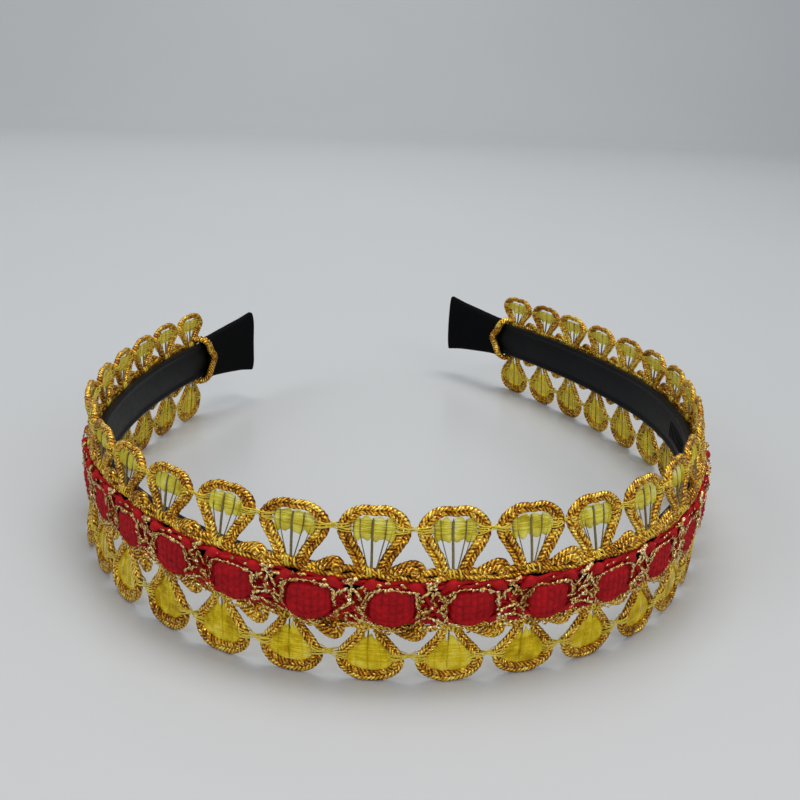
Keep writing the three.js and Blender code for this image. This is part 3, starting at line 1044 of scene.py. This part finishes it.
def hoop_strip():
    gather = Gather()
    low = HOOP_BOTTOM
    high = HOOP_TOP
    inner = -HOOP_THICK
    lower_rim = [
        # outward, height, from the outer face round the lower edge to the inner face
        (0.0, low + 0.9),
        (-0.06, low + 0.35),
        (-0.35, low + 0.05),
        (-1.1, low),
        (inner + 0.3, low + 0.05),
        (inner + 0.04, low + 0.3),
        (inner, low + 0.6),
        (inner + 0.10, low + 0.95),
        (inner + 0.30, low + 1.15),
        (inner + 0.36, low + 1.45),
    ]
    face = []
    for z in np.linspace(low + 2.0, high - 2.0, 9):
        crown = 0.26 * (1 - ((z - HOOP_MIDDLE) / 3.0) ** 2)
        face.append((inner + 0.32 - crown, z))
    upper_rim = [(n, low + high - z) for n, z in lower_rim[:3:-1]]
    upper_rim += [(-1.1, high), (-0.35, high - 0.05), (-0.06, high - 0.35), (0.0, high - 0.9)]
    section = np.array(lower_rim + face + upper_rim)
    s = np.concatenate([np.arange(-HOOP_HALF, HOOP_HALF, 1.2), [HOOP_HALF]])
    front = np.clip((75 - np.abs(s)) / 40, 0, 1)[:, None]
    grid = np.zeros((len(s), len(section), 3))
    grid[..., 0] = s[:, None]
    grid[..., 1] = section[None, :, 0]
    grid[..., 2] = section[None, :, 1] - FRONT_DROP * front * (section[None, :, 1] > HOOP_MIDDLE)
    gather.grid(grid, (np.linspace(0, 1, len(section) + 1), s), True)
    return gather


hoop_strip().make("hoop_strip", black_plastic, "black_plastic", ["hoop"])


# Low teeth on the inner face, towards the front of each arm

TEETH_STARTS = (78.0, -96.0)
TEETH = 12
TOOTH_PITCH = 1.3


def comb_teeth():
    gather = Gather()
    z = np.linspace(HOOP_BOTTOM + 2.6, HOOP_TOP - 2.6, 12)
    out = -HOOP_THICK + 0.14 - 0.12 * np.sin(np.linspace(0, np.pi, len(z)))
    for start in TEETH_STARTS:
        for k in range(TEETH):
            s = np.full(len(z), start + TOOTH_PITCH * k)
            gather.tube(np.column_stack([s, out, z]), 0.13, 6)
    return gather


comb_teeth().make("comb_teeth", black_plastic, "black_plastic")


# Cloth sleeves

WRAP_ROWS = 60
WRAP_AROUND = 48
WRAP_CAP = 6  # rings that close the end


def tip_wrap(side):
    gather = Gather()
    t = np.linspace(-0.16, 1, WRAP_ROWS)
    angle = np.arange(WRAP_AROUND) * TURN / WRAP_AROUND
    c = np.cos(angle)
    d = np.sin(angle)
    across = np.sign(c) * np.abs(c) ** 0.32
    up = np.sign(d) * np.abs(d) ** 0.42
    pinch = 1 - 0.25 * np.abs(up) ** 6
    flare = 5.6 + 2.5 * np.clip(t, 0, 1) ** 1.1
    low = -HOOP_THICK - 0.75 + 0.30 * np.clip(t, 0, 1)
    high = 0.75 - 0.25 * np.clip(t, 0, 1)
    grid = np.zeros((WRAP_ROWS + WRAP_CAP, WRAP_AROUND, 3))
    for r in range(WRAP_ROWS):
        thick = (high[r] - low[r]) / 2
        fold = 0.10 * np.sin(3.1 * up + 5 * t[r]) * np.sin(6 * t[r] + 1.5 * side) * (1 - np.abs(up) ** 4)
        corner = 0.35 * np.clip(t[r] - 0.75, 0, 1) * 4 * np.sign(up) * np.abs(up) ** 8
        grid[r, :, 0] = side * (WRAP_START + (WRAP_END - WRAP_START) * t[r])
        grid[r, :, 1] = (low[r] + high[r]) / 2 + across * thick * pinch + fold
        grid[r, :, 2] = HOOP_MIDDLE + up * flare[r] + corner
    end = grid[WRAP_ROWS - 1].copy()
    centre = np.array([end[0, 0], end[:, 1].mean(), HOOP_MIDDLE])
    for k in range(WRAP_CAP):
        keep = 1 - (k + 1) / WRAP_CAP
        grid[WRAP_ROWS + k] = centre + (end - centre) * [1, keep, 1 - 0.06 * (1 - keep)]
        grid[WRAP_ROWS + k, :, 0] += side * 0.16 * math.sin((1 - keep) * math.pi / 2)
    v = np.concatenate([t * 20, 20 + np.arange(1, WRAP_CAP + 1) * 0.3])
    gather.grid(grid, (np.linspace(0, 1, WRAP_AROUND + 1), v), True)
    return gather


tip_wrap(-1).make("wrap_left", black_cloth, "black_cloth", ["tip_wrap_left"])
tip_wrap(1).make("wrap_right", black_cloth, "black_cloth", ["tip_wrap_right"])


# Pointed cords over the inner face at each end of the trim

def end_cord(side):
    gather = Gather()
    end = TRIM_HALF - 3.6
    behind = -HOOP_THICK - 1.15
    edge_up = HOOP_TOP - HOOP_MIDDLE
    half = [
        # along, outward, height above the middle
        (end - 1.4, 0.4, edge_up + 1.1),
        (end - 0.9, -0.6, edge_up + 1.2),
        (end - 0.4, -1.7, edge_up + 1.05),
        (end + 0.2, behind + 0.15, edge_up),
        (end + 1.5, behind, 2.3),
        (end + 2.8, behind - 0.05, 0.6),
    ]
    control = [(s, out, HOOP_MIDDLE + up) for s, out, up in half]
    control += [(s, out, HOOP_MIDDLE - up) for s, out, up in half[::-1]]
    path = smooth_path(control, 0.22) * [side, 1, 1]
    gather.tube(path, 0.72, 9, 2, 0.16, CURL_TURN)
    second = path + [side * 1.0, 0.1, 0]
    gather.tube(second, 0.62, 8, 2, 0.16, -CURL_TURN)
    return gather


end_cord(-1).make("cord_left", gold, "gold_cord", ["end_cord_left"])
end_cord(1).make("cord_right", gold, "gold_cord", ["end_cord_right"])


# Floor and lights, in metres

FLOOR_FRONT = -1.6
FLOOR_BACK = 1.2
FLOOR_HALF = 3.0
SWEEP = 0.6  # radius of the curve from the floor up into the wall
SWEEP_STEPS = 12
WALL_TOP = 2.2


def floor_sweep():
    profile = [(FLOOR_FRONT, 0), (FLOOR_BACK, 0)]
    for k in range(1, SWEEP_STEPS + 1):
        angle = k / SWEEP_STEPS * math.pi / 2
        profile.append((FLOOR_BACK + SWEEP * math.sin(angle), SWEEP - SWEEP * math.cos(angle)))
    profile.append((FLOOR_BACK + SWEEP, WALL_TOP))
    points = [(x, y, z) for y, z in profile for x in (-FLOOR_HALF, FLOOR_HALF)]
    faces = [(2 * i, 2 * i + 1, 2 * i + 3, 2 * i + 2) for i in range(len(profile) - 1)]
    mesh = bpy.data.meshes.new("floor")
    mesh.from_pydata(points, [], faces)
    mesh.polygons.foreach_set("use_smooth", [True] * len(faces))
    mesh.materials.append(floor_material())
    floor = bpy.data.objects.new("floor", mesh)
    bpy.context.scene.collection.objects.link(floor)


floor_sweep()


def area_light(name, place, target, size, watts, colour):
    data = bpy.data.lights.new(name, "AREA")
    data.shape = "RECTANGLE"
    data.size = size[0]
    data.size_y = size[1]
    data.energy = watts
    data.color = colour
    lamp = bpy.data.objects.new(name, data)
    lamp.location = place
    lamp.rotation_mode = "QUATERNION"
    lamp.rotation_quaternion = (Vector(target) - Vector(place)).to_track_quat("-Z", "Y")
    bpy.context.scene.collection.objects.link(lamp)


area_light("overhead", (0.1, 0.15, 1.1), (0, 0, 0), (0.9, 0.5), 8, (1.0, 0.98, 0.95))
area_light("window", (-0.9, -0.5, 0.7), (0, 0, 0), (0.5, 0.5), 3, (0.93, 0.97, 1.0))
area_light("front", (0.5, -0.9, 0.6), (0, 0, 0.02), (0.6, 0.4), 3, (1.0, 0.96, 0.9))
area_light("wall", (0.0, 0.7, 1.0), (0, 1.8, 0.3), (1.2, 0.5), 5, (1.0, 0.99, 0.98))

world = bpy.data.worlds.new("soft")
world.use_nodes = True
sky = world.node_tree.nodes["Background"].inputs
sky["Color"].default_value = (0.86, 0.90, 0.95, 1)
sky["Strength"].default_value = 0.5
bpy.context.scene.world = world
bpy.context.scene.view_settings.view_transform = "Standard"

# Camera, fitted to the photo
CAMERA_FROM_TRIM = (-35.64, -141.24, 92.26)  # from the middle of the trim, in mm
CAMERA_HEADING = math.radians(5.735)
CAMERA_TILT = math.radians(18.04)
CAMERA_ROLL = math.radians(2.435)
camera_data = bpy.data.cameras.new("camera")
camera_data.sensor_width = 36
camera_data.lens = 45.61
camera_data.clip_start = 0.01
camera = bpy.data.objects.new("camera", camera_data)
forward = np.array([
    math.sin(CAMERA_HEADING) * math.cos(CAMERA_TILT),
    math.cos(CAMERA_HEADING) * math.cos(CAMERA_TILT),
    -math.sin(CAMERA_TILT),
])
level = np.array([math.cos(CAMERA_HEADING), -math.sin(CAMERA_HEADING), 0.0])
upright = np.cross(level, forward)
right = level * math.cos(CAMERA_ROLL) + upright * math.sin(CAMERA_ROLL)
above = upright * math.cos(CAMERA_ROLL) - level * math.sin(CAMERA_ROLL)
turned = Matrix([[*row] for row in np.column_stack([right, above, -forward])])
camera_place = np.array(CAMERA_FROM_TRIM) + [SHIFT_X, SHIFT_Y, 0]
camera.matrix_world = Matrix.Translation(camera_place * MM) @ turned.to_4x4()
bpy.context.scene.collection.objects.link(camera)
bpy.context.scene.camera = camera
